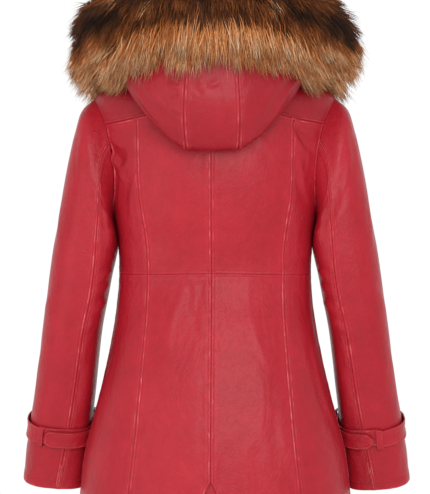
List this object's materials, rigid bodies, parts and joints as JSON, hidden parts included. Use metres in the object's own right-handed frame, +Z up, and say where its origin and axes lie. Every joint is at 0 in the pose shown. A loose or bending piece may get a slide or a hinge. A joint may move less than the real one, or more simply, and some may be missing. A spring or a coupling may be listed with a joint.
{
  "type": "leather parka",
  "caption": "Fitted leather parka, filled out as worn, with a fur-trimmed hood hanging down the back, princess seams, a centre back vent and buckled cuff straps.",
  "frame": {"origin": "middle of the neck opening, level with the nape, where the wearer's shoulders hold the coat up", "axes": "+Z up, +Y to the coat's back, +X to the wearer's left"},
  "size_m": [0.6302, 0.4004, 0.9558],
  "materials": {
    "red_leather": "semi-gloss",
    "fur": "long-haired fur",
    "dark_metal": "dark nickel"
  },
  "bodies": {
    "root": {"back_yoke": "red_leather", "back_upper_left": "red_leather", "back_upper_right": "red_leather", "back_side_left": "red_leather", "back_side_right": "red_leather", "skirt_back_left": "red_leather", "skirt_back_right": "red_leather", "skirt_side_left": "red_leather", "skirt_side_right": "red_leather", "front_left": "red_leather", "front_right": "red_leather", "sleeve_top_left": "red_leather", "sleeve_top_right": "red_leather", "sleeve_under_left": "red_leather", "sleeve_under_right": "red_leather", "strap_left": "red_leather", "strap_right": "red_leather", "strap_tab_left": "red_leather", "strap_tab_right": "red_leather", "strap_loop_left": "red_leather", "strap_loop_right": "red_leather", "vent_underlap": "red_leather", "front_placket": "red_leather", "hood_center": "red_leather", "hood_left": "red_leather", "hood_right": "red_leather", "buckle_left": "dark_metal", "buckle_right": "dark_metal", "stud_1": "dark_metal", "stud_2": "dark_metal", "stud_3": "dark_metal", "stud_4": "dark_metal", "stud_5": "dark_metal", "stud_6": "dark_metal", "fur_trim": "fur"}
  },
  "joints": []
}
